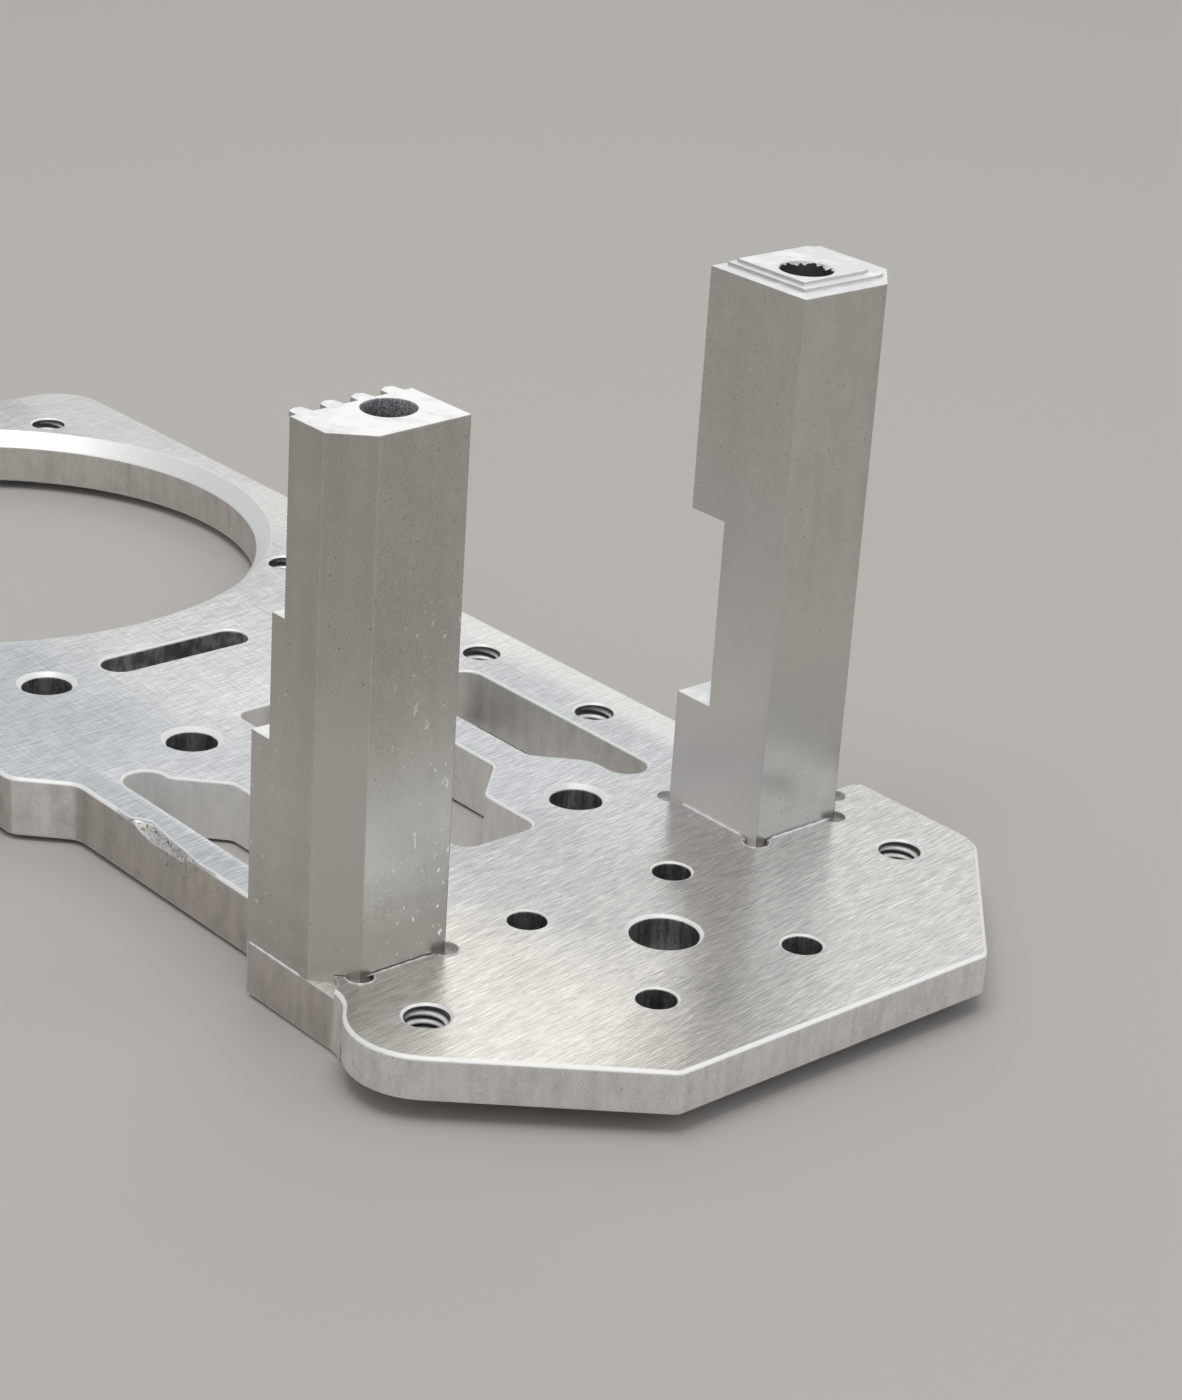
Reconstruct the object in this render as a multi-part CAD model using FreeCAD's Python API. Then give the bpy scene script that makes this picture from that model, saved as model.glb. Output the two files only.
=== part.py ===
import FreeCAD, Part
import math
import os

# Tool plate of a small robot arm: a milled aluminium plate with a large ring opening at one end,
# a tool bore at the other, and two square posts that stand in shallow pockets across its middle.
# The origin is the centre of the ring opening on the underside. +X runs towards the tool bore.
V = FreeCAD.Vector

# Plate sizes
plate_thickness = 6.35
front_relief = 2.2
relief_margin = 2.1
edge_chamfer = 0.28
underside_chamfer = 0.3
window_chamfer = 0.18
ring_half = 38.4
ring_end_radius = 6.35
ring_wall = 4.65
ring_radius = ring_half - ring_wall
ring_chamfer = 1.75
shoulder_x = 38.4
shoulder_run = 5.4
body_left = 32.4
body_right = 33.4
rail_left = 27.5
rail_back = 67.05
shoulder_radius = 2.5

# Tool end sizes
tool_x = 123.2
front_x = 143.15
tool_bore_radius = 3.3
tool_bore_chamfer = 0.28
tool_hole_offset = 8.98
tool_hole_radius = 1.9
tab_left_y = 27.7
tab_left_radius = 7.3
tab_left_fillet = 5.0
tab_right_y = 31.0
tab_right_step = 4.65
tab_right_back = 109.55
front_left_y = 15.9
front_right_y = 22.15
slope_right_x = 126.1
slope_right_radius = 4.5
front_corner_radius = 1.4
tab_corner_radius = 1.5

# Holes and windows in the plate
thread_radius = 2.05
thread_chamfer = 0.22
hole_chamfer = 0.47
small_hole_chamfer = 0.16
clear_radius = 2.67
ring_front_x = 28.9
ring_front_y = 25.1
ring_rear_x = 27.4
ring_rear_y = 27.8
inner_hole_x = 44.25
inner_hole_y = 16.9
slot_x = 43.95
slot_y = -0.5
slot_length = 18.3
slot_width = 4.2
field_x = 80.35
field_hole_x = 16.1
field_hole_y = 12.1
rail_hole_x = 81.35
rail_hole_y = 27.5
rail_hole_pitch = 19.05
window_radius = 1.65
middle_half_length = 19.15
middle_neck_x = 10.65
middle_belly_x = 5.7
middle_neck_y = 4.7
middle_belly_y = 10.0
side_x = 81.35
side_outer_y = 23.7
side_finger_width = 4.5
side_inner_y = 14.6
# Ends of the side windows: reach from side_x, straight run beside the rounded end, radius where it widens
left_window_back = (13.65, 0.75, 1.65)
right_window_back = (16.4, 0.75, 1.65)
side_window_front = (14.2, 2.6, 3.5)
end_flat = 0.02

# Dent in the upper edge of the left rail: x, how far it reaches in and how far it reaches down
dent_start = 76.3
dent_end = 88.0
dent_stations = [(77.4, 0.8, 0.4), (78.4, 1.3, 0.8), (80.4, 1.0, 1.05), (82.6, 0.65, 0.9), (85.2, 0.45, 1.0)]

# Posts: every height is measured from the underside of the plate
pocket_depth = 0.8
seat_clearance = 0.1
relief_radius = 1.3
relief_inset = 0.2
side_relief_radius = 2.6
side_relief_out = 1.05
side_relief_ahead = 1.5
left_back_x = 101.9
left_front_x = 114.45
left_inner_y = 18.8
left_outer_y = 31.65
left_chamfer = 3.3
left_top_z = 56.7
left_top_rise = 0.35
left_step_z = (26.5, 38.5)
left_step_x = (104.55, 106.35)
left_hole_x = 109.25
left_hole_y = 23.5
right_back_x = 101.55
right_front_x = 114.2
right_inner_y = 20.1
right_outer_y = 34.3
right_chamfer = 3.55
right_top_z = 61.3
notch_low_z = 17.9
notch_high_z = 37.2
notch_depth = 4.6
right_hole_x = 108.3
right_hole_y = 25.9
left_hole_radius = 2.5
right_hole_radius = 2.65
post_hole_depth = 19.0
tooth_count = 4
tooth_margin = 0.7
tooth_pitch = 3.2
tooth_width = 1.75
tooth_depth = 1.55
tooth_height = 0.45

# Terraces on the right post: how far each stands in from the back, front, inner and outer sides
terrace_rise = 0.3
terrace_radius = 1.5
terrace_insets = [(0.5, 1.75, 1.6, 1.5), (0.95, 2.75, 2.4, 2.6)]

# Flat-head screws that hold the posts from beneath
screw_radius = 2.05
screw_clearance = 0.15
head_radius = 4.0
head_height = 2.3
screw_reach = 9.5
hex_radius = 1.35
hex_depth = 1.5

post_foot_z = plate_thickness - pocket_depth
foot_hole_depth = screw_reach + 1.0


def rounded_wire(corners, z):
    # Closed wire through corners (x, y, radius); a radius above zero becomes a tangent arc
    ends = []
    count = len(corners)
    for i in range(count):
        x, y, radius = corners[i]
        here = V(x, y, z)
        before = V(corners[i - 1][0], corners[i - 1][1], z) - here
        after = V(corners[(i + 1) % count][0], corners[(i + 1) % count][1], z) - here
        if radius <= 0:
            ends.append((here, None, here))
            continue
        before.normalize()
        after.normalize()
        half = before.getAngle(after) / 2
        reach = radius / math.tan(half)
        bisector = before + after
        bisector.normalize()
        centre = here + bisector * (radius / math.sin(half))
        ends.append((here + before * reach, centre - bisector * radius, here + after * reach))
    edges = []
    for i in range(count):
        start, middle, end = ends[i]
        if middle is not None:
            edges.append(Part.Arc(start, middle, end).toShape())
        following = ends[(i + 1) % count][0]
        if end.distanceToPoint(following) > 1e-6:
            edges.append(Part.LineSegment(end, following).toShape())
    return Part.Wire(edges)


def prism(corners, low, high):
    return Part.Face(rounded_wire(corners, low)).extrude(V(0, 0, high - low))


def bore(x, y, radius, low, high, chamfer):
    # Drill with a countersink of the given width at its upper end
    tool = Part.makeCylinder(radius, high - low + 2, V(x, y, low - 1))
    if chamfer > 0:
        rim = Part.makeCone(radius, radius + 2 * chamfer, 2 * chamfer, V(x, y, high - chamfer))
        tool = tool.fuse(rim)
    return tool


def mirrored(corners):
    # The same outline on the other side of the plate's middle line
    return [(x, -y, radius) for x, y, radius in reversed(corners)]


# Plate outline: ring flange, body, left rail, post feet and the two tabs beside the tool bore
dx = tool_x - front_x
dy = front_left_y - tab_left_y
reach = math.hypot(dx, dy)
turn = math.acos(tab_left_radius / reach)
heading = math.atan2(-dy, -dx) - turn
tangent_x = tool_x + tab_left_radius * math.cos(heading)
tangent_y = -tab_left_y + tab_left_radius * math.sin(heading)
# A fillet leads from the straight side of the foot into the round tab
sweep = tab_left_radius + tab_left_fillet
rise = left_outer_y + tab_left_fillet - tab_left_y
run = math.sqrt(sweep ** 2 - rise ** 2)
bend = math.atan2(run, rise)
fillet_x = tool_x - run
join_x = fillet_x + tab_left_fillet * run / sweep
join_y = -left_outer_y - tab_left_fillet + tab_left_fillet * rise / sweep
# Where the sides step in at 45 degrees, both roundings of a slope fit within it
bend_right, bend_left, bend_rail = [
    min(shoulder_radius, 0.45 * math.sqrt(2) * step / math.tan(math.pi / 8))
    for step in (ring_half - body_right, ring_half - body_left, body_left - rail_left)]
outline = [
    (-ring_half, -ring_half, ring_end_radius),
    (shoulder_x - shoulder_run, -ring_half, bend_left),
    (shoulder_x + ring_half - body_left - shoulder_run, -body_left, bend_left),
    (rail_back - (body_left - rail_left), -body_left, bend_rail),
    (rail_back, -rail_left, bend_rail),
    (left_back_x, -rail_left, 0),
    (left_back_x, -left_outer_y, 0),
    (fillet_x + tab_left_fillet * math.tan(bend / 2), -left_outer_y, tab_left_fillet),
    (join_x, join_y, 0),
    (tangent_x, tangent_y, 0),
    (front_x, -front_left_y, front_corner_radius),
    (front_x, front_right_y, front_corner_radius),
    (slope_right_x, right_outer_y + tab_right_step, slope_right_radius),
    (tab_right_back, right_outer_y + tab_right_step, tab_corner_radius),
    (tab_right_back, right_outer_y, 0),
    (right_back_x, right_outer_y, 0),
    (right_back_x, body_right, 0),
    (shoulder_x + ring_half - body_right - shoulder_run, body_right, bend_right),
    (shoulder_x - shoulder_run, ring_half, bend_right),
    (-ring_half, ring_half, ring_end_radius),
]
plate = prism(outline, 0, plate_thickness)
tab = Part.makeCylinder(tab_left_radius, plate_thickness, V(tool_x, -tab_left_y, 0))
plate = plate.fuse(tab).removeSplitter()

# All edges of the outline are broken, above and beneath
rims = [edge for edge in plate.Edges if edge.BoundBox.ZMin > plate_thickness - 0.01]
plate = plate.makeChamfer(edge_chamfer, rims)
feet = [edge for edge in plate.Edges if edge.BoundBox.ZMax < 0.01]
plate = plate.makeChamfer(underside_chamfer, feet)

# Windows through the plate: one between the posts and one along each rail, widening at 45 degrees to the middle
middle_window = []
for sx, sy in ((1, 1), (-1, 1), (-1, -1), (1, -1)):
    quarter = [
        (field_x + sx * middle_half_length, sy * middle_neck_y, window_radius),
        (field_x + sx * middle_neck_x, sy * middle_neck_y, window_radius),
        (field_x + sx * middle_belly_x, sy * middle_belly_y, window_radius),
    ]
    middle_window += quarter if sx * sy > 0 else quarter[::-1]
finger_y = side_outer_y - side_finger_width
finger_radius = side_finger_width / 2 - end_flat


def window_end(size, sx):
    reach, run, bend = size
    finger_x = reach - side_finger_width / 2 - run
    belly_x = finger_x - (finger_y - side_inner_y)
    return [
        (side_x + sx * reach, side_outer_y, finger_radius),
        (side_x + sx * reach, finger_y, finger_radius),
        (side_x + sx * finger_x, finger_y, bend),
        (side_x + sx * belly_x, side_inner_y, window_radius),
    ]


left_window = mirrored(window_end(side_window_front, 1) + window_end(left_window_back, -1)[::-1])
right_window = window_end(side_window_front, 1) + window_end(right_window_back, -1)[::-1]
slot_end = slot_width / 2 - end_flat / 2
slot = [
    (slot_x - slot_width / 2, slot_y - slot_length / 2, slot_end),
    (slot_x + slot_width / 2, slot_y - slot_length / 2, slot_end),
    (slot_x + slot_width / 2, slot_y + slot_length / 2, slot_end),
    (slot_x - slot_width / 2, slot_y + slot_length / 2, slot_end),
]
for window in (middle_window, left_window, right_window, slot):
    plate = plate.cut(prism(window, -1, plate_thickness + 1))
upper = [face for face in plate.Faces if face.BoundBox.ZMin > plate_thickness - 0.01][0]
rims = [edge for wire in upper.Wires if not wire.isSame(upper.OuterWire) for edge in wire.Edges]
plate = plate.makeChamfer(window_chamfer, rims)

# Something hard has struck the left rail: a dent slopes from its upper face out through its side
lift = seat_clearance
dent = [Part.Vertex(V(dent_start, -rail_left - lift, plate_thickness + lift))]
for x, inward, drop in dent_stations:
    rim = V(x, -rail_left + inward * (1 + lift / drop), plate_thickness + lift)
    foot = V(x, -rail_left - lift, plate_thickness - drop * (1 + lift / inward))
    corner = V(x, -rail_left - lift, plate_thickness + lift)
    dent.append(Part.makePolygon([rim, foot, corner, rim]))
dent.append(Part.Vertex(V(dent_end, -rail_left - lift, plate_thickness + lift)))
plate = plate.cut(Part.makeLoft(dent, True, True))

# The tool end is thinner than the rest: its underside is raised
relief_x = left_front_x + seat_clearance + relief_margin
relief = Part.makeBox(front_x, 4 * ring_half, front_relief + 1, V(relief_x, -2 * ring_half, -1))
plate = plate.cut(relief)

# Ring opening with its wide bevel above and a narrow one beneath
plate = plate.cut(bore(0, 0, ring_radius, 0, plate_thickness, ring_chamfer))
ring_foot = ring_radius + underside_chamfer
plate = plate.cut(Part.makeCone(ring_foot + 1, ring_radius, underside_chamfer + 1, V(0, 0, -1)))

# Tapped holes: ring corners, right rail and both tabs
tapped = [(ring_front_x, ring_front_y), (ring_front_x, -ring_front_y)]
tapped += [(-ring_rear_x, ring_rear_y), (-ring_rear_x, -ring_rear_y)]
tapped += [(rail_hole_x, rail_hole_y), (rail_hole_x - rail_hole_pitch, rail_hole_y)]
tapped += [(tool_x, -tab_left_y), (tool_x, tab_right_y)]
for x, y in tapped:
    plate = plate.cut(bore(x, y, thread_radius, 0, plate_thickness, thread_chamfer))

# Clearance holes: four around the middle window, two beside the slot
clear = [(field_x + sx * field_hole_x, sy * field_hole_y) for sx in (1, -1) for sy in (1, -1)]
clear += [(inner_hole_x, inner_hole_y), (inner_hole_x, -inner_hole_y)]
for x, y in clear:
    plate = plate.cut(bore(x, y, clear_radius, 0, plate_thickness, hole_chamfer))

# Tool bore and its four small holes
plate = plate.cut(bore(tool_x, 0, tool_bore_radius, 0, plate_thickness, tool_bore_chamfer))
for sx in (1, -1):
    for sy in (1, -1):
        x = tool_x + sx * tool_hole_offset
        y = sy * tool_hole_offset
        plate = plate.cut(bore(x, y, tool_hole_radius, 0, plate_thickness, small_hole_chamfer))


def pocket(back, front, inner, outer, chamfer, side):
    # Seat of one post, with a round relief in each corner that the cutter could not reach
    corners = [
        (back - seat_clearance, side * (inner - seat_clearance)),
        (front + seat_clearance, side * (inner - seat_clearance)),
        (front + seat_clearance, side * (outer - chamfer + seat_clearance * 0.414)),
        (front - chamfer + seat_clearance * 0.414, side * (outer + seat_clearance)),
    ]
    opening = [(x, y, 0) for x, y in corners]
    opening.append((back - seat_clearance, side * (outer + seat_clearance), 0))
    if side < 0:
        opening.reverse()
    tool = prism(opening, post_foot_z, plate_thickness + 1)
    for i in range(4):
        here = V(corners[i][0], corners[i][1], 0)
        if i == 0:
            before = V(0, side, 0)
        else:
            before = V(corners[i - 1][0], corners[i - 1][1], 0) - here
        if i == 3:
            after = V(-1, 0, 0)
        else:
            after = V(corners[i + 1][0], corners[i + 1][1], 0) - here
        inward = before.normalize() + after.normalize()
        centre = here + inward.normalize() * relief_inset + V(0, 0, post_foot_z)
        tool = tool.fuse(Part.makeCylinder(relief_radius, pocket_depth + 1, centre))
    return tool


left_pocket = pocket(left_back_x, left_front_x, left_inner_y, left_outer_y, left_chamfer, -1)
right_pocket = pocket(right_back_x, right_front_x, right_inner_y, right_outer_y, right_chamfer, 1)
plate = plate.cut(left_pocket).cut(right_pocket)

# Beside the left foot the cutter ran out through the plate's side and left a round clearing
clearing_x = left_front_x - left_chamfer + side_relief_ahead
clearing_y = -left_outer_y - side_relief_out
plate = plate.cut(Part.makeCylinder(
    side_relief_radius, pocket_depth + 1, V(clearing_x, clearing_y, post_foot_z)))

# Countersunk holes for the screws under the middle of each foot
left_screw_x = (left_back_x + left_front_x) / 2
left_screw_y = -(left_inner_y + left_outer_y) / 2
right_screw_x = (right_back_x + right_front_x) / 2
right_screw_y = (right_inner_y + right_outer_y) / 2
hole_radius = screw_radius + screw_clearance
for x, y in ((left_screw_x, left_screw_y), (right_screw_x, right_screw_y)):
    plate = plate.cut(Part.makeCylinder(hole_radius, plate_thickness + 2, V(x, y, -1)))
    sink = Part.makeCone(head_radius + screw_clearance, hole_radius, head_height, V(x, y, 0))
    plate = plate.cut(sink)


def post_block(back, front, inner, outer, chamfer, side, top):
    corners = [
        (back, side * inner, 0),
        (front, side * inner, 0),
        (front, side * (outer - chamfer), 0),
        (front - chamfer, side * outer, 0),
        (back, side * outer, 0),
    ]
    if side < 0:
        corners.reverse()
    return prism(corners, post_foot_z, top)


# Left post: its back steps in twice on the way up and a comb of thin teeth is left at the top's back edge
left_high_z = left_top_z + left_top_rise
left_post = post_block(
    left_back_x, left_front_x, left_inner_y, left_outer_y, left_chamfer, -1, left_high_z)
for step_x, step_z in zip(left_step_x, left_step_z):
    width = left_outer_y - left_inner_y + 2
    corner = V(left_back_x - 1, -left_outer_y - 1, step_z)
    left_post = left_post.cut(Part.makeBox(step_x - left_back_x + 1, width, left_top_z, corner))
root = left_step_x[1] + seat_clearance
tip = left_step_x[1] - tooth_depth
for i in range(tooth_count):
    y = -left_outer_y + tooth_margin + i * tooth_pitch
    tooth = [
        (root, y, 0),
        (root, y + tooth_width, 0),
        (tip + 0.15 * tooth_depth, y + 0.85 * tooth_width, 0),
        (tip, y + 0.45 * tooth_width, 0),
        (tip + 0.3 * tooth_depth, y, 0),
    ]
    shear = left_top_rise * (y + left_outer_y) / (left_outer_y - left_inner_y)
    left_post = left_post.fuse(prism(tooth, left_top_z + shear - tooth_height, left_high_z))
left_post = left_post.removeSplitter()

# Its top was sawn a little out of square and rises towards the middle of the plate
saw_cut = Part.makePolygon([
    V(left_back_x, -left_outer_y, left_top_z),
    V(left_back_x, -left_inner_y, left_high_z),
    V(left_back_x, -left_inner_y, left_high_z + 1),
    V(left_back_x, -left_outer_y, left_high_z + 1),
    V(left_back_x, -left_outer_y, left_top_z),
])
saw_cut = Part.Face(saw_cut).extrude(V(left_front_x - left_back_x, 0, 0))
left_post = left_post.cut(saw_cut)

# Right post: a deep notch in its back and two low terraces round the hole on top
right_post = post_block(
    right_back_x, right_front_x, right_inner_y, right_outer_y, right_chamfer, 1, right_top_z)
width = right_outer_y - right_inner_y + 2
corner = V(right_back_x - 1, right_inner_y - 1, notch_low_z)
notch = Part.makeBox(notch_depth + 1, width, notch_high_z - notch_low_z, corner)
right_post = right_post.cut(notch)
terrace_z = right_top_z
for back, front, inner, outer in terrace_insets:
    terrace = [
        (right_back_x + back, right_inner_y + inner, 0),
        (right_front_x - front, right_inner_y + inner, 0),
        (right_front_x - front, right_outer_y - outer, terrace_radius),
        (right_back_x + back, right_outer_y - outer, 0),
    ]
    right_post = right_post.fuse(prism(terrace, terrace_z, terrace_z + terrace_rise))
    terrace_z += terrace_rise

# Holes in the posts: one from the top, one for the screw from beneath
left_post = left_post.cut(Part.makeCylinder(
    left_hole_radius, post_hole_depth + 1, V(left_hole_x, -left_hole_y, left_high_z - post_hole_depth)))
right_post = right_post.cut(Part.makeCylinder(
    right_hole_radius, post_hole_depth + 1, V(right_hole_x, right_hole_y, terrace_z - post_hole_depth)))
foot_drill = (screw_radius + screw_clearance / 2, foot_hole_depth + 1)
left_post = left_post.cut(Part.makeCylinder(
    foot_drill[0], foot_drill[1], V(left_screw_x, left_screw_y, post_foot_z - 1)))
right_post = right_post.cut(Part.makeCylinder(
    foot_drill[0], foot_drill[1], V(right_screw_x, right_screw_y, post_foot_z - 1)))


def flat_head_screw(x, y):
    head = Part.makeCone(head_radius, screw_radius, head_height, V(x, y, 0))
    shank = Part.makeCylinder(screw_radius, post_foot_z + screw_reach, V(x, y, 0))
    points = []
    for i in range(6):
        angle = math.radians(60 * i)
        points.append((x + hex_radius * math.cos(angle), y + hex_radius * math.sin(angle), 0))
    return head.fuse(shank).removeSplitter().cut(prism(points, -1, hex_depth))


left_screw = flat_head_screw(left_screw_x, left_screw_y)
right_screw = flat_head_screw(right_screw_x, right_screw_y)

parts = {
    "tool_plate": plate,
    "left_post": left_post,
    "right_post": right_post,
    "left_post_screw": left_screw,
    "right_post_screw": right_screw,
}
os.makedirs("parts", exist_ok=True)
for name, shape in parts.items():
    solid = shape.Solids[0]
    print(name, "solids", len(shape.Solids), "valid", shape.isValid(), "volume", round(solid.Volume, 1))
    solid.exportStep("parts/%s.step" % name)
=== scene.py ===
from math import atan2, cos, hypot, pi, radians, sin

import bpy
from mathutils import Matrix, Vector


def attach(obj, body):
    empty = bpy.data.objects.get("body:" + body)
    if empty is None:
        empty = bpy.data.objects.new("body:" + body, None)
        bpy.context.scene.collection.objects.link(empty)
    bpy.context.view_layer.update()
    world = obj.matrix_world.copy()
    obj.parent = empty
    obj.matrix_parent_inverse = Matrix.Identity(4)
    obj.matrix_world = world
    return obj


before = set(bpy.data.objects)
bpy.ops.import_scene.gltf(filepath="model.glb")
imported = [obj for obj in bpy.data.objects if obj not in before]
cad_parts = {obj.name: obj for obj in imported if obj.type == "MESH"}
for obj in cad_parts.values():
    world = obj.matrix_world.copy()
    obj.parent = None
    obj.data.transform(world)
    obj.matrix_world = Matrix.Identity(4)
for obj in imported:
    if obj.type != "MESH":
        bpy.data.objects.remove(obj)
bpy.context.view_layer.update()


# Tool plate
# One piece milled from quarter inch aluminium plate. Its flat faces are sanded across by hand, its walls
# keep the upright marks of the cutter, and every rim is deburred to a narrow slope, whitened partly as
# bright metal and partly as a painted highlight.

class Wire:
    """A value on its way through a finish. Sums written with wires add the nodes that work them out."""

    def __init__(self, finish, socket):
        self.finish = finish
        self.socket = socket

    def sum_node(self, operation, first, second):
        return self.finish.node("ShaderNodeMath", {"operation": operation}, {0: first, 1: second})

    def __add__(self, other):
        return self.sum_node("ADD", self, other)

    def __radd__(self, other):
        return self.sum_node("ADD", other, self)

    def __sub__(self, other):
        return self.sum_node("SUBTRACT", self, other)

    def __rsub__(self, other):
        return self.sum_node("SUBTRACT", other, self)

    def __mul__(self, other):
        return self.sum_node("MULTIPLY", self, other)

    def __rmul__(self, other):
        return self.sum_node("MULTIPLY", other, self)

    def __abs__(self):
        return self.sum_node("ABSOLUTE", self, 0.0)


class Finish:
    """A finish: one material and the nodes that make its pattern. Lengths in patterns are millimetres."""

    def __init__(self, name, metallic=1.0):
        self.material = bpy.data.materials.new(name)
        self.material.use_nodes = True
        self.nodes = self.material.node_tree.nodes
        self.links = self.material.node_tree.links
        self.surface = self.nodes["Principled BSDF"]
        self.surface.inputs["Metallic"].default_value = metallic

    def node(self, kind, settings, sockets, output=0):
        made = self.nodes.new(kind)
        for setting, value in settings.items():
            setattr(made, setting, value)
        for socket, value in sockets.items():
            self.feed(made.inputs[socket], value)
        return Wire(self, made.outputs[output])

    def feed(self, socket, value):
        if isinstance(value, Wire):
            self.links.new(value.socket, socket)
        else:
            socket.default_value = value

    def spot(self, axis):
        """One Object coordinate."""
        where = self.node("ShaderNodeTexCoord", {}, {}, "Object")
        return 1000.0 * self.node("ShaderNodeSeparateXYZ", {}, {0: where}, axis)

    def facing(self, axis):
        """How far the surface looks along an axis: 1 straight along it, -1 straight against it."""
        normal = self.node("ShaderNodeTexCoord", {}, {}, "Normal")
        return self.node("ShaderNodeSeparateXYZ", {}, {0: normal}, axis)

    def between(self, value, low, high, start=0.0, end=1.0):
        """Goes smoothly from start at the low value to end at the high one."""
        return self.node("ShaderNodeMapRange", {"interpolation_type": "SMOOTHSTEP"}, {
            "Value": value, "From Min": low, "From Max": high, "To Min": start, "To Max": end})

    def band(self, value, start, full, fade, end):
        """1 where the value is from full to fade, and 0 before start and after end."""
        return self.between(value, start, full) * self.between(value, end, fade)

    def apart(self, x, y, fold_x=None, fold_y=False):
        """Squared distance in plan from a point, or from its nearest image about a middle line."""
        across = self.spot("X") - (x if fold_x is None else fold_x)
        aside = self.spot("Y") - (0.0 if fold_y else y)
        across = across if fold_x is None else abs(across) - abs(x - fold_x)
        aside = abs(aside) - abs(y) if fold_y else aside
        return across * across + aside * aside

    def near(self, radius, *point):
        """1 in the column of the given radius round a point in plan, or round each of its images."""
        return self.between(self.apart(*point), 1.1 * radius * radius, radius * radius)

    def grain(self, across, along, upright, turned=0.0, detail=2.0, rough=0.5, swirl=0.0):
        """Cloudy noise with marks of the given size across, along and upright, turned by some degrees."""
        where = self.node("ShaderNodeTexCoord", {}, {}, "Object")
        scaled = self.node("ShaderNodeMapping", {"vector_type": "TEXTURE"}, {
            "Vector": where,
            "Rotation": (0.0, 0.0, radians(turned)),
            "Scale": (across / 1000, along / 1000, upright / 1000)})
        return self.node("ShaderNodeTexNoise", {"noise_dimensions": "3D"}, {
            "Vector": scaled, "Scale": 1.0, "Detail": detail, "Roughness": rough, "Distortion": swirl})

    def dots(self, size, low, high):
        """Scattered small dots, one to a cell of the given size."""
        where = self.node("ShaderNodeTexCoord", {}, {}, "Object")
        scaled = self.node("ShaderNodeMapping", {"vector_type": "TEXTURE"}, {
            "Vector": where, "Scale": (size / 1000, size / 1000, size / 1000)})
        cells = self.node("ShaderNodeTexVoronoi", {"feature": "F1"}, {
            "Vector": scaled, "Scale": 1.0, "Randomness": 1.0}, "Distance")
        return self.between(cells, low, high, 1.0, 0.0)

    def rim(self, reach):
        """Deburred edges: 1 on a sharp edge and 0 a little way off, and the rounded normal."""
        rounded = self.node("ShaderNodeBevel", {"samples": 4}, {"Radius": reach})
        straight = self.node("ShaderNodeNewGeometry", {}, {}, "Normal")
        close = self.node(
            "ShaderNodeVectorMath", {"operation": "DOT_PRODUCT"}, {0: rounded, 1: straight}, "Value")
        return self.between(close, 0.998, 0.945), rounded

    def blend(self, share, first, second):
        """Colour that goes from first to second."""
        return self.node("ShaderNodeMix", {"data_type": "RGBA"}, {
            0: share, 6: self.colour(first), 7: self.colour(second)}, 2)

    def stain(self, share, first, second):
        """First colour, multiplied by the second where share is 1."""
        return self.node("ShaderNodeMix", {"data_type": "RGBA", "blend_type": "MULTIPLY"}, {
            0: share, 6: self.colour(first), 7: self.colour(second)}, 2)

    def colour(self, value):
        return (*value, 1.0) if isinstance(value, tuple) else value

    def relief(self, height, depth, under=None):
        """Normal of a fine relief, on top of another normal where one is given."""
        sockets = {"Height": height, "Distance": depth, "Strength": 1.0}
        if under is not None:
            sockets["Normal"] = under
        return self.node("ShaderNodeBump", {}, sockets)

    def give(self, **inputs):
        for socket, value in inputs.items():
            self.feed(self.surface.inputs[socket.replace("_", " ")], value)


plate = Finish("plate_sanded_aluminium")
along, aside, upright = plate.spot("X"), plate.spot("Y"), plate.spot("Z")
level = abs(plate.facing("Z"))
flat = plate.between(level, 0.86, 0.97)
sloped = plate.between(level, 0.25, 0.5) - flat
walls = 1.0 - flat
rim, rounded = plate.rim(0.00028)
tool_end = plate.between(along, 66.0, 96.0)
ring_end = 1.0 - tool_end

# Sanded faces: long hairs across the plate, crossed ones at the ring end, and brighter and darker streaks
hair = plate.grain(0.09, 4.0, 1.0, turned=4.0, detail=3.0, rough=0.6)
cross_hair = plate.grain(5.0, 0.15, 1.0, turned=-3.0, detail=3.0, rough=0.6)
streak = plate.grain(0.15, 2.2, 1.0, turned=7.0, swirl=0.3)
cloudy = plate.grain(7.0, 12.0, 11.0, detail=3.0, rough=0.6)
sanded = 0.44 + (0.9 + 0.5 * ring_end) * (hair - 0.5) + 1.5 * ring_end * (cross_hair - 0.5)
sanded = sanded + (0.9 + 0.5 * tool_end) * (
    0.55 * plate.between(streak, 0.55, 0.70) - 0.6 * plate.between(streak, 0.46, 0.32))
sanded = sanded + 0.7 * (cloudy - 0.5)

# Milled walls: upright marks, blotches, bright sparks and dark pits
cutter = plate.grain(0.9, 0.9, 30.0, detail=3.0)
bands = plate.grain(3.0, 3.0, 60.0)
frosted = plate.grain(0.15, 0.15, 0.15)
blotch = plate.grain(1.6, 1.6, 3.0, detail=4.0, rough=0.65)
sparks = plate.dots(1.3, 0.05, 0.10)
pit = plate.between(plate.grain(0.8, 0.8, 0.8), 0.70, 0.76)
milled = 0.80 + 0.6 * (cutter - 0.5) + (0.5 + 0.9 * ring_end) * (bands - 0.5)
milled = milled + 1.5 * (blotch - 0.5) + 1.3 * (frosted - 0.5) + sparks - 0.6 * pit
metal_tone = plate.blend(flat * sanded + walls * milled, (0.55, 0.55, 0.55), (0.90, 0.89, 0.87))
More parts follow.
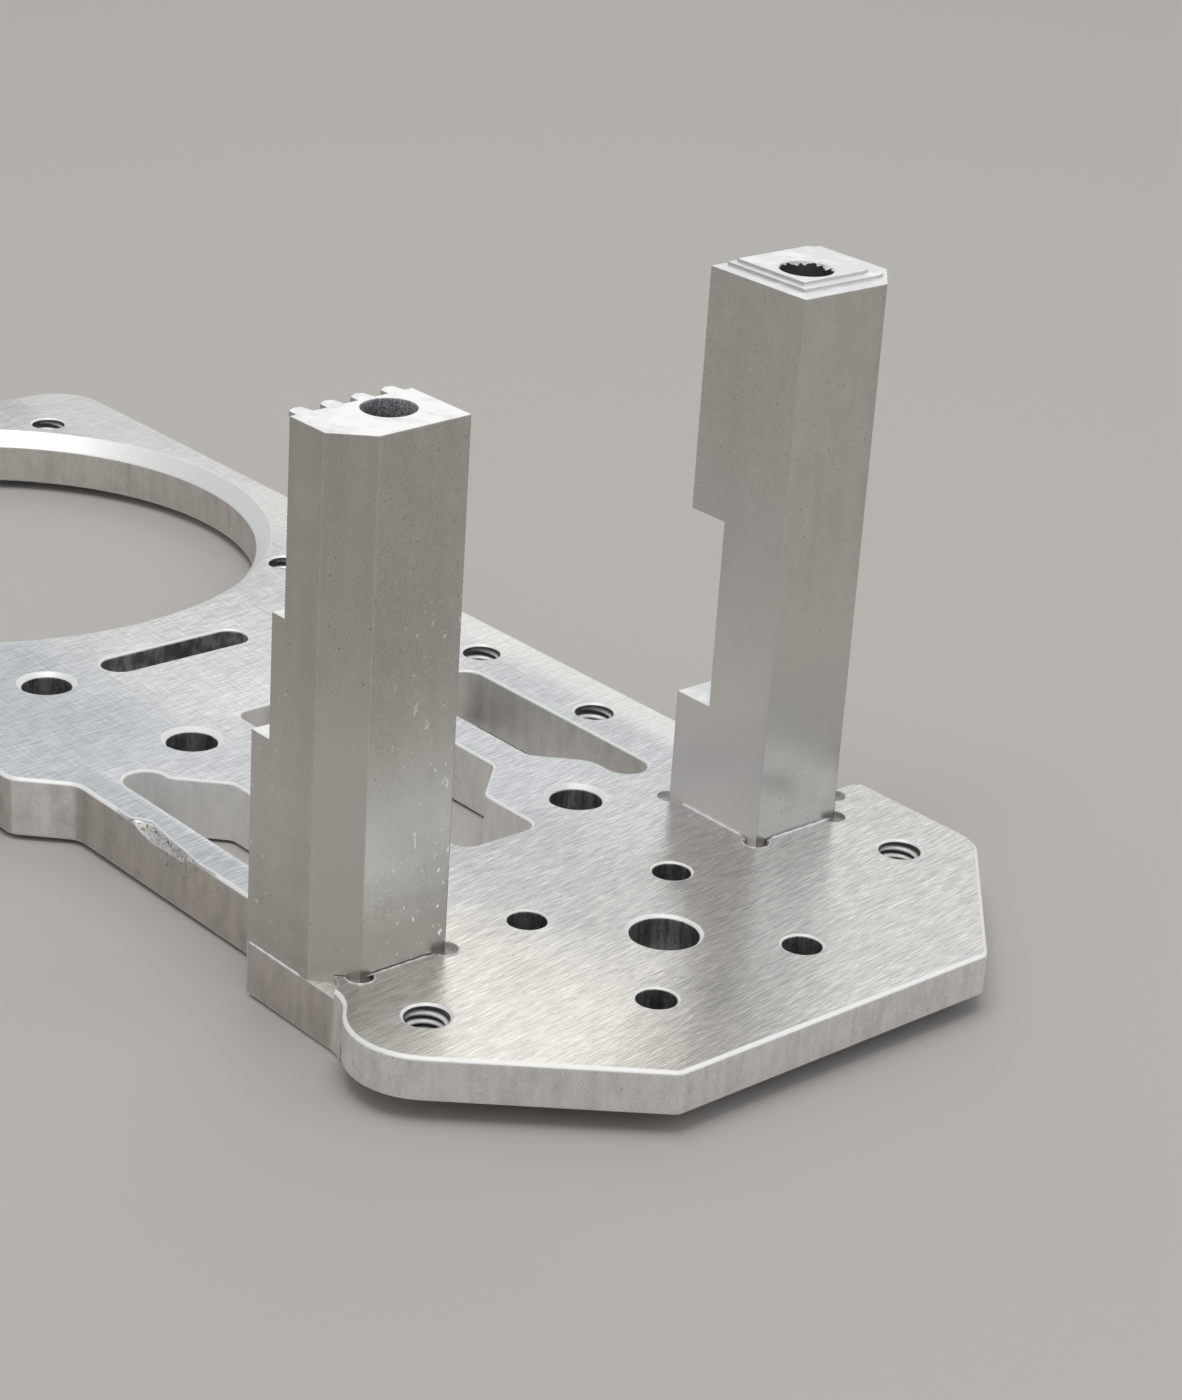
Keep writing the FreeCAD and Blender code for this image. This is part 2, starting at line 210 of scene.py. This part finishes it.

# Drilled walls: the tool bore, its four small holes and the clearance holes, streaked by the drill and
# darkened inside with painted shade
bore_x = 123.2
drilled_holes = (
    (3.4, bore_x, 0.0),
    (2.0, bore_x + 8.98, 8.98, bore_x, True),
    (2.75, 96.45, 12.1, 80.35, True),
    (2.75, 44.25, 16.9, None, True))
holes = sum(plate.near(*hole) for hole in drilled_holes) * walls * (1.0 - sloped)
drilled = plate.grain(0.8, 0.8, 9.0, detail=3.0, rough=0.6) + 0.5 * plate.grain(0.3, 0.3, 0.5, rough=0.6)
drilled_streaks_and_painted_shade = plate.blend(plate.between(drilled, 0.5, 1.15), (0.26, 0.26, 0.265), (0.92, 0.92, 0.92))
metal_tone = plate.blend(holes, metal_tone, drilled_streaks_and_painted_shade)

# Walls that are darker, lighter or more mottled than the rest: painted shade on the left side's walls and
# on the ring's wall, painted light on the windows' walls, and dark mottling in the slot
left_wall_painted_shade = plate.between(aside, -26.6, -27.0) * walls * plate.between(along, 115.5, 114.5)
left_wall_painted_shade = left_wall_painted_shade * plate.between(plate.facing("Y"), -0.84, -0.96)
metal_tone = plate.stain(left_wall_painted_shade, metal_tone, (0.70, 0.67, 0.635))
# Painted shade on the ring's inner wall
ring_wall_painted_shade = plate.near(34.2, 0.0, 0.0) * walls * (1.0 - sloped)
metal_tone = plate.stain(ring_wall_painted_shade, metal_tone, (0.80, 0.78, 0.75))
# Painted light on the windows' walls, strongest on the left side
windows = plate.between(abs(aside), 24.6, 24.2) * walls * plate.band(along, 50.0, 52.0, 104.0, 106.0)
windows = windows * (1.0 - holes) * plate.between(aside, 12.0, -12.0, 0.25, 1.0)
metal_tone = plate.blend(0.5 * windows, metal_tone, (1.0, 1.0, 1.0))
slot = walls * plate.band(along, 41.2, 41.6, 46.3, 46.7) * plate.between(abs(aside), 10.4, 10.2)
slot = slot * plate.between(blotch + 0.6 * (bands - 0.5), 0.62, 0.40)
metal_tone = plate.blend(slot, metal_tone, (0.36, 0.36, 0.37))

# Flat faces, with painted reflection: cool at the ring end and on the rails, warm and bright at the tool
# end's left side; painted shade darker in the middle, and painted warm glare near the bore and beside the
# right post
ring_end_painted_reflection = plate.blend(plate.between(aside, -20.0, -2.0), (0.65, 0.69, 0.745), (0.96, 0.985, 1.0))
tool_end_painted_reflection = plate.blend(plate.between(aside, -28.0, -2.0), (1.0, 0.965, 0.915), (0.83, 0.82, 0.805))
painted_reflection = plate.blend(plate.between(along, 58.0, 72.0), ring_end_painted_reflection, (0.80, 0.83, 0.87))
painted_reflection = plate.blend(plate.between(along, 92.0, 114.0), painted_reflection, tool_end_painted_reflection)
metal_tone = plate.stain(flat, metal_tone, painted_reflection)
# Painted shade: the tool end's top darker in its middle
middle = flat * plate.band(along, 92.0, 100.0, 112.0, 128.0) * plate.band(aside, -16.0, -6.0, 4.0, 12.0)
metal_tone = plate.stain(middle, metal_tone, (0.87, 0.88, 0.89))
# Painted reflection: the left rail's top darker and cooler
rail = flat * plate.between(aside, -24.0, -24.8) * plate.band(along, 62.0, 68.0, 102.0, 106.0)
metal_tone = plate.stain(rail, metal_tone, (0.76, 0.785, 0.81))
glare = 0.45 * flat * plate.between(along, 118.0, 132.0) * plate.between(aside, -2.0, -16.0)
glare = glare + flat * plate.between(along, 100.0, 92.0) * plate.between(aside, 26.5, 31.0)
metal_tone = plate.blend(0.45 * glare, metal_tone, (1.0, 0.97, 0.90))

# Dent in the left rail: torn metal on its slopes, and torn spots on the wall below
hit = plate.band(along, 75.8, 76.4, 87.6, 88.6) * plate.between(aside, -26.0, -26.1)
hit = hit * plate.band(upright, 3.2, 4.4, 6.14, 6.26)
struck = hit * sloped
torn = plate.grain(0.35, 0.35, 0.35, detail=4.0, rough=0.7, swirl=0.8)
torn_wall = hit * (walls - sloped) * plate.between(torn, 0.42, 0.36) * plate.between(along, 81.0, 83.0)
torn_tone = plate.blend(plate.between(torn, 0.40, 0.52), (0.16, 0.155, 0.15), (0.66, 0.65, 0.63))

# Deburred rims whitened, partly as bright metal and partly as a painted highlight, and painted shade in
# the valleys of the threads in the tapped holes
tapped = {
    "thread_plate_1": (28.9, 25.1),
    "thread_plate_2": (28.9, -25.1),
    "thread_plate_3": (-27.4, 27.8),
    "thread_plate_4": (-27.4, -27.8),
    "thread_plate_5": (81.35, 27.5),
    "thread_plate_6": (62.3, 27.5),
    "thread_tab_1": (123.2, -27.7),
    "thread_tab_2": (123.2, 31.0),
}
# The rims and slopes are whitened: partly bright deburred metal, partly painted highlight
slopes = sloped * (1.0 - struck)
metal_tone = plate.blend((0.9 * rim + slopes) * (1.0 - holes), metal_tone, (0.97, 0.97, 0.96))
from_taps = [plate.apart(x, y) for x, y in tapped.values()]
# Painted shade darkens the valleys between the thread crests
valley_painted_shade = sum(plate.band(from_tap, 3.4, 4.05, 4.25, 4.35) for from_tap in from_taps)
valley_painted_shade = valley_painted_shade * plate.between(upright, 6.3, 6.2)
metal_tone = plate.blend(valley_painted_shade, metal_tone, (0.13, 0.13, 0.13))
metal_tone = plate.blend((0.9 * struck + torn_wall) * (1.0 - rim), metal_tone, torn_tone)

# Deburred rims and the posts' pockets scatter light more than they mirror it
pocket = plate.band(upright, 5.45, 5.52, 5.58, 5.62) * flat
scattering = (0.9 * rim + slopes * (1.0 - plate.near(38.0, 0.0, 0.0))) * (1.0 - holes) * (1.0 - pocket)
roughness = 0.19 + 0.15 * walls + 0.12 * sloped + 0.10 * (hair - 0.5) + 0.06 * cloudy
roughness = roughness + 0.15 * rim + 0.15 * struck + 0.25 * windows
relief = flat * (0.4 * hair + 0.4 * ring_end * cross_hair + (0.4 + 0.8 * tool_end) * streak)
relief = relief + walls * (0.5 * cutter - 0.8 * pit) + 1.2 * struck * torn
plate.give(
    Metallic=1.0 - 0.85 * pocket - 0.6 * scattering,
    Base_Color=metal_tone,
    Roughness=roughness,
    Normal=plate.relief(relief, 0.00002, rounded))
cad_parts["tool_plate"].material_slots[0].material = plate.material


# Threads of the tapped holes
# Eight holes of the plate are tapped, 32 turns to the inch. Each thread is a fine ridge that a tap cut in
# the wall of its hole, and its crests catch the light as bright bands.

thread_pitch = 0.00079
thread_wall = 0.00207
thread_crest = 0.00168
thread_foot = {"thread_plate": 0.0002, "thread_tab": 0.0024}
thread_head = 0.00615
steps_a_turn = 44
thinnest = 0.02

for name, (x, y) in tapped.items():
    foot = thread_foot[name.rpartition("_")[0]]
    bpy.ops.object.select_all(action="DESELECT")
    bpy.ops.mesh.primitive_circle_add(
        vertices=3, radius=thread_pitch / 2, fill_type="NOTHING", location=(0, 0, 0))
    ridge = bpy.context.active_object
    ridge.name = name
    section = [
        (thread_wall, -0.47 * thread_pitch),
        (thread_crest, 0.0),
        (thread_wall, 0.47 * thread_pitch)]
    for point, (out, up) in zip(ridge.data.vertices, section):
        point.co = (out, 0.0, up)
    turns = (thread_head - foot) / thread_pitch - 1.0
    turn = ridge.modifiers.new("turns", "SCREW")
    turn.axis = "Z"
    turn.angle = 2 * pi * turns
    turn.screw_offset = thread_pitch * turns
    turn.iterations = 1
    turn.steps = turn.render_steps = int(steps_a_turn * turns)
    turn.use_smooth_shade = False
    turn.use_merge_vertices = False
    bpy.ops.object.modifier_apply(modifier=turn.name)
    # The ridge grows out of the wall in its first half turn and sinks into it in its last
    for point in ridge.data.vertices:
        if hypot(point.co.x, point.co.y) < (thread_wall + thread_crest) / 2:
            turned = point.co.z / thread_pitch
            grown = max(thinnest, min(1.0, 2 * turned, 2 * (turns - turned)))
            out = thread_wall - (thread_wall - thread_crest) * grown
            bearing = atan2(point.co.y, point.co.x)
            point.co.x = out * cos(bearing)
            point.co.y = out * sin(bearing)
    bpy.ops.object.mode_set(mode="EDIT")
    bpy.ops.mesh.select_all(action="SELECT")
    bpy.ops.mesh.fill_holes(sides=4)
    bpy.ops.mesh.select_all(action="SELECT")
    bpy.ops.transform.translate(value=(x / 1000, y / 1000, foot + 0.5 * thread_pitch))
    bpy.ops.mesh.normals_make_consistent(inside=False)
    bpy.ops.object.mode_set(mode="OBJECT")
    ridge.data.materials.append(plate.material)
    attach(ridge, "root")


# Posts
# Two blocks of drawn aluminium bar, milled to length and notched. Their faces are matt with faint upright
# bands and small bright nicks, and their cut tops are smooth, and brighter partly by painted light.

post = Finish("post_milled_aluminium")
height = post.spot("Z")
ends = post.between(abs(post.facing("Z")), 0.86, 0.97)
sides = 1.0 - ends
left = post.between(post.spot("Y"), 0.0, -5.0)
low = post.between(height, 20.0, 6.0)
front = post.between(post.facing("X"), 0.85, 0.95)
corner = post.between(post.facing("X") * post.facing("Y"), -0.2, -0.4)
inner = post.between(post.facing("Y"), -0.85, -0.95) * (1.0 - left)
edge, rounded = post.rim(0.00018)

# Marks of the bar, bands of painted reflection across it, dark pricks and, mostly on the left post, bright
# nicks
drawn = post.grain(1.4, 1.4, 90.0, detail=3.0)
broad = post.grain(5.0, 5.0, 120.0)
dull = post.grain(2.5, 2.5, 4.0, detail=4.0, rough=0.65)
frost = post.grain(0.14, 0.14, 0.18, rough=0.6)
painted_reflection_bands = post.grain(30.0, 30.0, 1.6)
prick = post.dots(1.1, 0.07, 0.14) * post.between(dull, 0.46, 0.56)
nick = post.between(post.grain(0.62, 0.62, 0.8), 0.675, 0.70) * post.between(height, 46.0, 34.0)
nick = nick * (0.12 + 0.88 * left)
nick = nick * post.between(post.spot("Y") - 0.8 * post.spot("X"), -120.0, -112.0)

# Sides, with painted light, shade and reflection: lighter towards the foot, on the right post and on the
# broken corner, darker again at the very foot in front, cooler low down in front, lighter and warmer on
# the right post's inner face, and crossed low down by bands of painted reflection
grain_and_painted_light = 0.5 + 0.2 * (drawn - 0.5) + 0.4 * (broad - 0.5) + 0.6 * (dull - 0.5) + 1.3 * (frost - 0.5)
grain_and_painted_light = grain_and_painted_light - 0.9 * prick + 0.6 * (painted_reflection_bands - 0.5) * post.between(height, 32.0, 12.0)
grain_and_painted_light = grain_and_painted_light + 0.42 * post.between(height, 38.0, 22.0) + 0.30 * (1.0 - left)
grain_and_painted_light = grain_and_painted_light + 0.45 * corner * post.between(height, 44.0, 14.0)
grain_and_painted_light = grain_and_painted_light - low * (0.35 + 0.35 * front + 0.60 * front * left)
side_tone = post.blend(grain_and_painted_light, (0.40, 0.375, 0.345), (0.64, 0.62, 0.59))
side_tone = post.stain(front * post.between(height, 30.0, 20.0), side_tone, (0.945, 0.975, 1.0))
side_tone = post.blend(0.85 * inner * post.between(height, 52.0, 12.0), side_tone, (0.98, 0.935, 0.90))

# The left post's blind hole is rough inside. The tops are brighter than the sides, partly from their
# smoother cut and partly painted light, and the edges are whitened, the tops' most, partly as bright metal
# and partly as a painted highlight
bored = post.between(post.apart(109.25, -23.5), 7.3, 6.6) * sides
rough_patch = post.between(dull + frost - 0.5, 0.3, 0.7)
bored_tone = post.blend(rough_patch, (0.25, 0.25, 0.26), (0.95, 0.95, 0.97))
side_tone = post.blend(bored, side_tone, bored_tone)
side_tone = post.blend(nick + 0.3 * edge, side_tone, (0.90, 0.90, 0.89))
bright_patch = post.between(dull + 0.15 * (left - 0.5), 0.35, 0.65)
top_tone_and_painted_light = post.blend(bright_patch, (0.82, 0.835, 0.85), (0.99, 0.99, 0.985))
post_tone = post.blend(ends, side_tone, top_tone_and_painted_light)
relief = sides * (0.2 * drawn + 0.4 * frost) + 0.3 * ends * dull + 0.8 * nick
post.give(
    Base_Color=post.blend(0.8 * edge * ends, post_tone, (1.0, 1.0, 1.0)),
    Roughness=0.30 + 0.32 * ends + 0.25 * bored + 0.2 * inner * low + 0.10 * (dull - 0.5),
    Normal=post.relief(relief, 0.00002, rounded))
for name in ("left_post", "right_post"):
    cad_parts[name].material_slots[0].material = post.material


# Burrs of the plate
# The cutter threw up thin rounded burrs along the pockets of the posts' feet, round the pockets' reliefs
# and along the left shoulder, and the blow that made the dent raised another along its upper edge.

bead_spacing = 0.00035
weld_distance = 0.0000001
relief_reach = 0.00136


def burr(name, path, height, thickness):
    """A wavy thread of metal laid along a path of points in plan."""
    bpy.ops.object.select_all(action="DESELECT")
    line = bpy.data.curves.new(name, "CURVE")
    line.dimensions = "3D"
    line.bevel_depth = thickness
    line.bevel_resolution = 1
    line.use_fill_caps = True
    beads = []
    for start, end in zip(path, path[1:]):
        steps = max(2, round((Vector(end) - Vector(start)).length / bead_spacing))
        beads += [Vector(start).lerp(Vector(end), step / steps) for step in range(steps)]
    beads.append(Vector(path[-1]))
    spline = line.splines.new("POLY")
    spline.points.add(len(beads) - 1)
    for number, (point, bead) in enumerate(zip(spline.points, beads)):
        share = number / (len(beads) - 1)
        swell = 0.76 + 0.14 * sin(31 * share + 2 * path[0][0]) + 0.10 * sin(77 * share + 1.3)
        point.co = (bead.x, bead.y, height, 1.0)
        point.radius = swell * min(1.0, 12 * share + 0.15, 12 * (1 - share) + 0.15)
    laid = bpy.data.objects.new(name, line)
    bpy.context.scene.collection.objects.link(laid)
    laid.select_set(True)
    bpy.context.view_layer.objects.active = laid
    bpy.ops.object.convert(target="MESH")
    made = bpy.context.active_object
    bpy.ops.object.mode_set(mode="EDIT")
    bpy.ops.mesh.select_all(action="SELECT")
    bpy.ops.mesh.remove_doubles(threshold=weld_distance)
    bpy.ops.mesh.normals_make_consistent(inside=False)
    bpy.ops.object.mode_set(mode="OBJECT")
    for face in made.data.polygons:
        face.use_smooth = True
    made.data.materials.clear()
    made.data.materials.append(plate.material)
    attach(made, "root")


def around(x, y, start, end):
    """Points just outside a pocket's round relief, between two angles in degrees."""
    turns = [radians(start + (end - start) * step / 12) for step in range(13)]
    return [(x + relief_reach * cos(turn), y + relief_reach * sin(turn)) for turn in turns]


dent_edge = [
    (0.0740, -0.0275), (0.0763, -0.0275), (0.0774, -0.0267), (0.0784, -0.0262), (0.0804, -0.0265),
    (0.0826, -0.02685), (0.0852, -0.02705), (0.0880, -0.0275), (0.0910, -0.0275)]
burr("burr_right_inner", [(0.1034, 0.01996), (0.1125, 0.01996)], 0.00635, 0.00020)
burr("burr_right_front", [(0.11434, 0.0218), (0.11434, 0.0302)], 0.00635, 0.00020)
burr("burr_left_front", [(0.11459, -0.0277), (0.11459, -0.0206)], 0.00635, 0.00011)
burr("burr_left_side", [(0.1022, -0.03172), (0.1104, -0.03172)], 0.00558, 0.00021)
burr("burr_shoulder", [(0.0412, -0.03236), (0.0490, -0.03236)], 0.00615, 0.00016)
burr("burr_dent", dent_edge, 0.00638, 0.00021)
burr("burr_relief_left_inner", around(0.11441, -0.01884, -80, 170), 0.00636, 0.00010)
burr("burr_relief_left_front", around(0.114365, -0.02831, -128, 80), 0.00636, 0.00012)
burr("burr_relief_right_inner", around(0.11416, 0.02014, -170, 80), 0.00636, 0.00010)


# Lip of the right post's hole
# The drill left a ragged lip of thin aluminium round the hole in the right post's top. It was never
# deburred, and it hangs over the far side of the hole.

hole_centre = Vector((0.1083, 0.0259, 0.0619))
hole_radius = 0.00265
lip_thickness = 0.00006
lip_share = 0.9
far_side = radians(125)

bpy.ops.object.select_all(action="DESELECT")
bpy.ops.mesh.primitive_circle_add(
    vertices=96, radius=hole_radius, fill_type="NOTHING", location=(0, 0, 0))
lip = bpy.context.active_object
lip.name = "hole_lip"
bpy.ops.object.mode_set(mode="EDIT")
bpy.ops.mesh.select_all(action="SELECT")
bpy.ops.mesh.extrude_edges_move()
bpy.ops.transform.resize(value=(lip_share, lip_share, 1.0))
bpy.ops.object.mode_set(mode="OBJECT")
for point in lip.data.vertices:
    if point.co.length < 0.97 * hole_radius:
        angle = atan2(point.co.y, point.co.x)
        away = min(1.0, max(0.0, cos(angle - far_side) + 0.35))
        ragged = 0.5 + 0.26 * sin(5 * angle + 0.6) + 0.24 * sin(13 * angle + 2.1)
        ragged += 0.20 * sin(22 * angle + 4.0)
        reach = 0.02 + 0.20 * away * max(0.1, ragged)
        point.co *= (1.0 - reach) / lip_share
        point.co.z = -0.00004 - 0.10 * hole_radius * away * ragged
lip.data.transform(Matrix.Translation(hole_centre))
sheet = lip.modifiers.new("sheet", "SOLIDIFY")
sheet.thickness = lip_thickness
sheet.offset = -1.0
bpy.ops.object.modifier_apply(modifier=sheet.name)
lip.data.materials.append(post.material)
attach(lip, "root")


# Post screws
# One flat head steel screw holds each post from beneath. Its head is turned, so it shows fine rings.

screw = Finish("screw_turned_steel")
rings = screw.grain(0.2, 0.2, 1.0)
screw.give(
    Base_Color=screw.blend(rings, (0.34, 0.34, 0.35), (0.52, 0.52, 0.52)),
    Roughness=0.30 + 0.15 * rings,
    Normal=screw.relief(rings, 0.00001))
for name in ("left_post_screw", "right_post_screw"):
    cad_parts[name].material_slots[0].material = screw.material


# Floor, light and camera
# A plain pale floor, soft light from all round with broad lamps overhead, behind and at the right, and the
# camera where the picture was taken from.

floor_tilt = radians(-0.4)
bpy.ops.object.select_all(action="DESELECT")
bpy.ops.mesh.primitive_plane_add(
    size=6.0, location=(0.116, 0.0, -0.00005), rotation=(0.0, floor_tilt, 0.0))
floor = bpy.context.active_object
floor.name = "floor"
table = Finish("floor_pale", metallic=0.0)
table.give(Base_Color=(0.485, 0.463, 0.437, 1.0), Roughness=0.8)
floor.data.materials.append(table.material)

world = bpy.data.worlds.new("soft_room")
bpy.context.scene.world = world
world.use_nodes = True
sky = world.node_tree.nodes["Background"]
sky.inputs["Color"].default_value = (0.96, 0.98, 1.0, 1.0)
sky.inputs["Strength"].default_value = 0.56


def lamp(name, place, aim, width, height, power, colour):
    light = bpy.data.lights.new(name, "AREA")
    light.shape = "RECTANGLE"
    light.size = width
    light.size_y = height
    light.energy = power
    light.color = colour
    holder = bpy.data.objects.new(name, light)
    bpy.context.scene.collection.objects.link(holder)
    holder.location = place
    holder.rotation_euler = (Vector(aim) - Vector(place)).to_track_quat("-Z", "Y").to_euler()


lamp("overhead", (0.16, -0.12, 0.80), (0.09, 0.0, 0.0), 0.50, 0.50, 2.3, (1.0, 0.98, 0.95))
lamp("behind", (-0.50, 0.55, 0.60), (0.12, 0.0, 0.0), 1.0, 0.55, 1.15, (1.0, 0.975, 0.93))
lamp("right", (0.72, 0.62, 0.50), (0.12, 0.0, 0.0), 0.60, 0.45, 0.90, (0.96, 0.98, 1.0))

azimuth, elevation, roll = radians(47.791), radians(23.430), radians(3.862)
eye = Vector((0.31147, -0.18180, 0.14242))
back = Vector((sin(azimuth) * cos(elevation), -cos(azimuth) * cos(elevation), sin(elevation)))
level_right = Vector((cos(azimuth), sin(azimuth), 0.0))
level_up = back.cross(level_right)
right = level_right * cos(roll) + level_up * sin(roll)
up = level_up * cos(roll) - level_right * sin(roll)
camera = bpy.data.objects.new("camera", bpy.data.cameras.new("camera"))
bpy.context.scene.collection.objects.link(camera)
camera.data.sensor_fit = "VERTICAL"
camera.data.sensor_height = 36.0
camera.data.lens = 82.255
camera.data.clip_start = 0.01
camera.matrix_world = Matrix((
    (right.x, up.x, back.x, eye.x),
    (right.y, up.y, back.y, eye.y),
    (right.z, up.z, back.z, eye.z),
    (0.0, 0.0, 0.0, 1.0)))
bpy.context.scene.camera = camera
bpy.context.scene.view_settings.view_transform = "Standard"
